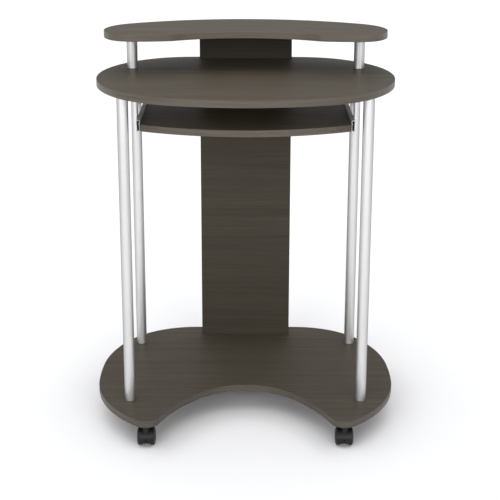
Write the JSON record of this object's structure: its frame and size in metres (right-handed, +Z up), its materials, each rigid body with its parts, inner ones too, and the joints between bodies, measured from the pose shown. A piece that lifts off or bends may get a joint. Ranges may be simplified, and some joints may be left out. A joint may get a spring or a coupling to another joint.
{
  "type": "computer desk with keyboard tray",
  "caption": "Compact rolling computer desk: oval top, kidney shelf and base, back panel, silver tube legs, slide-out keyboard tray and twin-wheel casters.",
  "frame": {"origin": "on the floor under the middle of the desk, at the centre of its footprint box", "axes": "+X to the sitter's right, +Y toward the back panel, +Z up; the sitter's side faces -Y"},
  "size_m": [0.6736, 0.5493, 0.856],
  "materials": {
    "laminate": "dark grey-brown woodgrain laminate on particle board, grain along the width, low satin sheen",
    "edge_banding": "slightly lighter woodgrain plastic edge band, fine grain along the edge",
    "tube_silver": "smooth satin silver powder coat on steel tube",
    "black_plastic": "moulded black plastic",
    "zinc_steel": "bright zinc-plated steel",
    "cam_zinc": "die-cast zinc, slightly dull",
    "beech_dowel": "plain fluted beech dowel",
    "slide_steel": "grey epoxy coated folded sheet steel, semi-matte",
    "roller_nylon": "black nylon",
    "caster_plastic": "moulded charcoal-black nylon, fine texture, slightly glossier on the tread"
  },
  "bodies": {
    "root": {"base_board": "laminate", "desktop": "laminate", "upper_shelf": "laminate", "lower_back_panel": "laminate", "upper_back_panel": "laminate", "base_edge_band": "edge_banding", "desktop_edge_band": "edge_banding", "shelf_edge_band": "edge_banding", "leg_front_left": "tube_silver", "leg_front_right": "tube_silver", "leg_rear_left": "tube_silver", "leg_rear_right": "tube_silver", "post_left": "tube_silver", "post_right": "tube_silver", "tube_end_plugs": "black_plastic", "tube_bolts": "zinc_steel", "tube_bolt_washers": "zinc_steel", "tube_top_studs": "zinc_steel", "insert_nuts": "zinc_steel", "panel_base_screws": "zinc_steel", "hanger_screws": "zinc_steel", "rail_rivets": "zinc_steel", "rail_roller_pins": "zinc_steel", "caster_insert_nuts": "zinc_steel", "caster_stems": "zinc_steel", "cam_bolts": "cam_zinc", "cam_lock_discs": "cam_zinc", "panel_dowels": "beech_dowel", "rail_left": "slide_steel", "rail_right": "slide_steel", "rail_hangers_left": "slide_steel", "rail_hangers_right": "slide_steel"},
    "tray": {"keyboard_tray": "laminate", "tray_edge_band": "edge_banding", "runner_left": "slide_steel", "runner_right": "slide_steel", "runner_screws": "zinc_steel", "runner_roller_pins": "zinc_steel"},
    "rail_roller_left": {"rail_roller_left": "roller_nylon"},
    "runner_roller_left": {"runner_roller_left": "roller_nylon"},
    "rail_roller_right": {"rail_roller_right": "roller_nylon"},
    "runner_roller_right": {"runner_roller_right": "roller_nylon"},
    "caster_front_left": {"caster_hood_front_left": "caster_plastic", "caster_axle_front_left": "zinc_steel"},
    "wheel_front_left_outer": {"caster_wheel_front_left_outer": "caster_plastic"},
    "wheel_front_left_inner": {"caster_wheel_front_left_inner": "caster_plastic"},
    "caster_front_right": {"caster_hood_front_right": "caster_plastic", "caster_axle_front_right": "zinc_steel"},
    "wheel_front_right_outer": {"caster_wheel_front_right_outer": "caster_plastic"},
    "wheel_front_right_inner": {"caster_wheel_front_right_inner": "caster_plastic"},
    "caster_rear_left": {"caster_hood_rear_left": "caster_plastic", "caster_axle_rear_left": "zinc_steel"},
    "wheel_rear_left_outer": {"caster_wheel_rear_left_outer": "caster_plastic"},
    "wheel_rear_left_inner": {"caster_wheel_rear_left_inner": "caster_plastic"},
    "caster_rear_right": {"caster_hood_rear_right": "caster_plastic", "caster_axle_rear_right": "zinc_steel"},
    "wheel_rear_right_outer": {"caster_wheel_rear_right_outer": "caster_plastic"},
    "wheel_rear_right_inner": {"caster_wheel_rear_right_inner": "caster_plastic"}
  },
  "joints": [
    {"name": "tray_slide", "type": "slide", "parent": "root", "child": "tray", "axis": [0, -1, 0], "range_m": [0, 0.2]},
    {"name": "rail_roller_left_spin", "type": "hinge", "parent": "root", "child": "rail_roller_left", "pos_m": [-0.2308, -0.087, 0.67815], "axis": [1, 0, 0], "range_deg": [-10, 1450]},
    {"name": "runner_roller_left_spin", "type": "hinge", "parent": "tray", "child": "runner_roller_left", "pos_m": [-0.23005, 0.147, 0.67365], "axis": [1, 0, 0], "range_deg": [-10, 1450]},
    {"name": "rail_roller_right_spin", "type": "hinge", "parent": "root", "child": "rail_roller_right", "pos_m": [0.2308, -0.087, 0.67815], "axis": [1, 0, 0], "range_deg": [-10, 1450]},
    {"name": "runner_roller_right_spin", "type": "hinge", "parent": "tray", "child": "runner_roller_right", "pos_m": [0.23005, 0.147, 0.67365], "axis": [1, 0, 0], "range_deg": [-10, 1450]},
    {"name": "caster_front_left_swivel", "type": "hinge", "parent": "root", "child": "caster_front_left", "pos_m": [-0.215, -0.254, 0.04], "axis": [0, 0, 1], "continuous": true},
    {"name": "wheel_front_left_outer_spin", "type": "hinge", "parent": "caster_front_left", "child": "wheel_front_left_outer", "pos_m": [-0.215, -0.242, 0.02], "axis": [1, 0, 0], "continuous": true},
    {"name": "wheel_front_left_inner_spin", "type": "hinge", "parent": "caster_front_left", "child": "wheel_front_left_inner", "pos_m": [-0.215, -0.242, 0.02], "axis": [1, 0, 0], "continuous": true},
    {"name": "caster_front_right_swivel", "type": "hinge", "parent": "root", "child": "caster_front_right", "pos_m": [0.215, -0.254, 0.04], "axis": [0, 0, 1], "continuous": true},
    {"name": "wheel_front_right_outer_spin", "type": "hinge", "parent": "caster_front_right", "child": "wheel_front_right_outer", "pos_m": [0.215, -0.242, 0.02], "axis": [1, 0, 0], "continuous": true},
    {"name": "wheel_front_right_inner_spin", "type": "hinge", "parent": "caster_front_right", "child": "wheel_front_right_inner", "pos_m": [0.215, -0.242, 0.02], "axis": [1, 0, 0], "continuous": true},
    {"name": "caster_rear_left_swivel", "type": "hinge", "parent": "root", "child": "caster_rear_left", "pos_m": [-0.19, 0.217, 0.04], "axis": [0, 0, 1], "continuous": true},
    {"name": "wheel_rear_left_outer_spin", "type": "hinge", "parent": "caster_rear_left", "child": "wheel_rear_left_outer", "pos_m": [-0.19, 0.229, 0.02], "axis": [1, 0, 0], "continuous": true},
    {"name": "wheel_rear_left_inner_spin", "type": "hinge", "parent": "caster_rear_left", "child": "wheel_rear_left_inner", "pos_m": [-0.19, 0.229, 0.02], "axis": [1, 0, 0], "continuous": true},
    {"name": "caster_rear_right_swivel", "type": "hinge", "parent": "root", "child": "caster_rear_right", "pos_m": [0.19, 0.217, 0.04], "axis": [0, 0, 1], "continuous": true},
    {"name": "wheel_rear_right_outer_spin", "type": "hinge", "parent": "caster_rear_right", "child": "wheel_rear_right_outer", "pos_m": [0.19, 0.229, 0.02], "axis": [1, 0, 0], "continuous": true},
    {"name": "wheel_rear_right_inner_spin", "type": "hinge", "parent": "caster_rear_right", "child": "wheel_rear_right_inner", "pos_m": [0.19, 0.229, 0.02], "axis": [1, 0, 0], "continuous": true}
  ],
  "couplings": [
    {"joint": "rail_roller_left_spin", "follows": "tray_slide", "rad_per_m": 125},
    {"joint": "runner_roller_left_spin", "follows": "tray_slide", "rad_per_m": 125},
    {"joint": "rail_roller_right_spin", "follows": "tray_slide", "rad_per_m": 125},
    {"joint": "runner_roller_right_spin", "follows": "tray_slide", "rad_per_m": 125}
  ]
}
